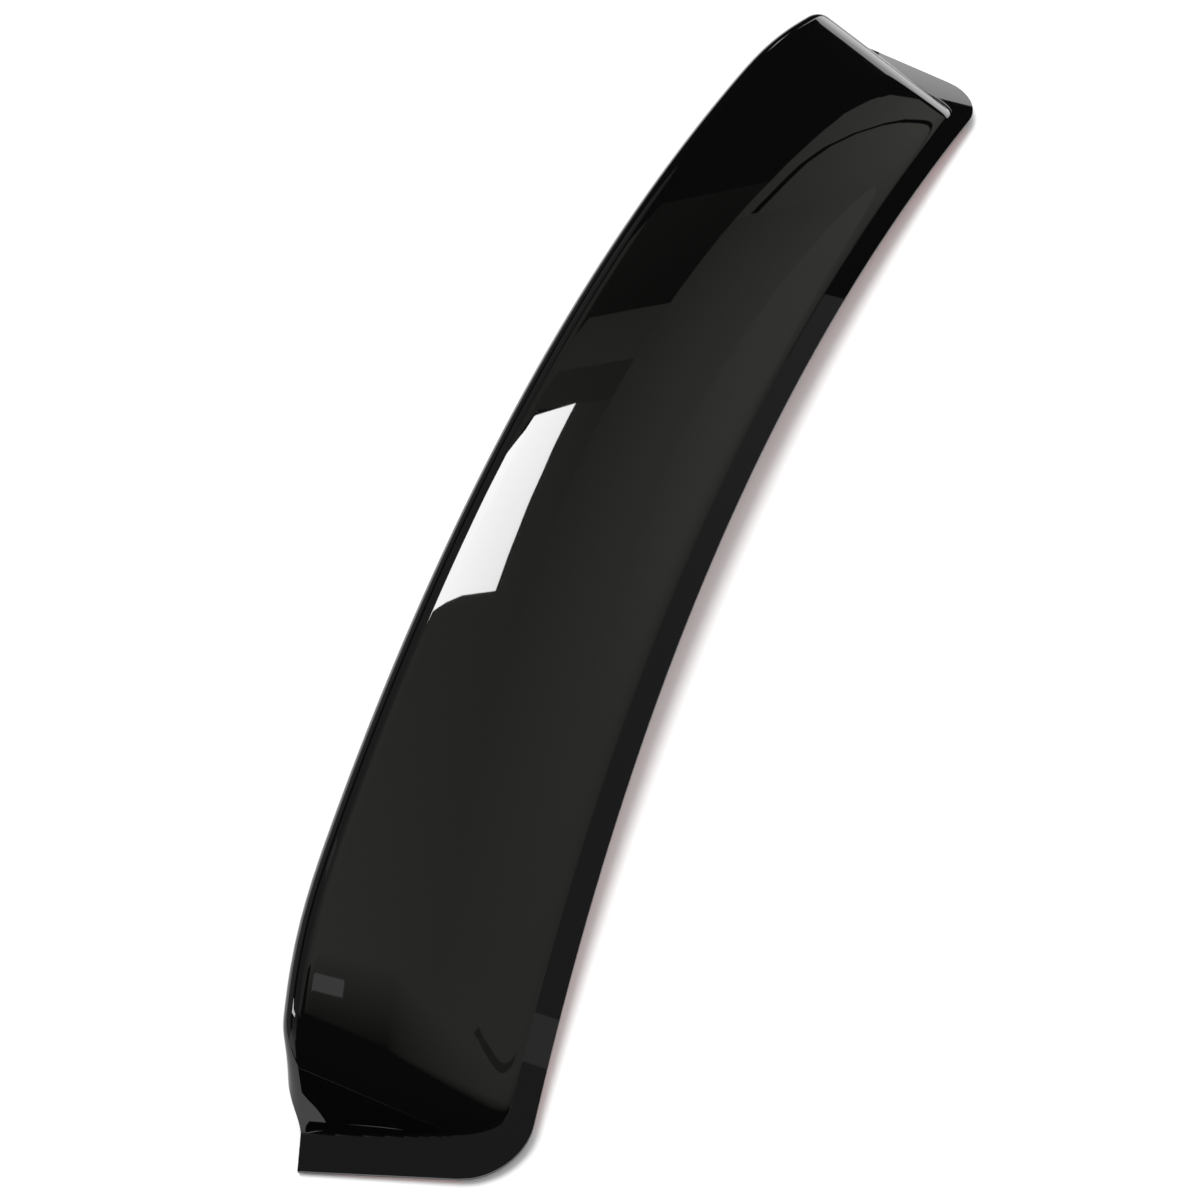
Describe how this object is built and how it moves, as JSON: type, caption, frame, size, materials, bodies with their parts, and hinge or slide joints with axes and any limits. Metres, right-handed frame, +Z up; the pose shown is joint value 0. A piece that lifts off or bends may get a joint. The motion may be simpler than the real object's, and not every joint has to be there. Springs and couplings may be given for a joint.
{
  "type": "roof spoiler",
  "caption": "Gloss black rear-window roof spoiler formed from a single plastic sheet: bonding flange, raised ramp, steep end walls and rolled trailing lip, with adhesive tape underneath.",
  "frame": {"origin": "middle of the footprint, on the level that the lowest corners of the release liners rest on", "axes": "+X across the car to its right-hand end in the picture's foreground, +Y forward towards the roof, +Z up"},
  "size_m": [1.2018, 0.2104, 0.1068],
  "materials": {
    "formed_sheet": "deep gloss black, smooth on both faces",
    "foam_tape": "dark grey acrylic foam, dull",
    "release_liner": "red film, semi-matte"
  },
  "bodies": {
    "root": {"spoiler_shell": "formed_sheet", "front_tape": "foam_tape", "front_liner": "release_liner", "left_end_tape": "foam_tape", "left_end_liner": "release_liner", "right_end_tape": "foam_tape", "right_end_liner": "release_liner"}
  },
  "joints": []
}
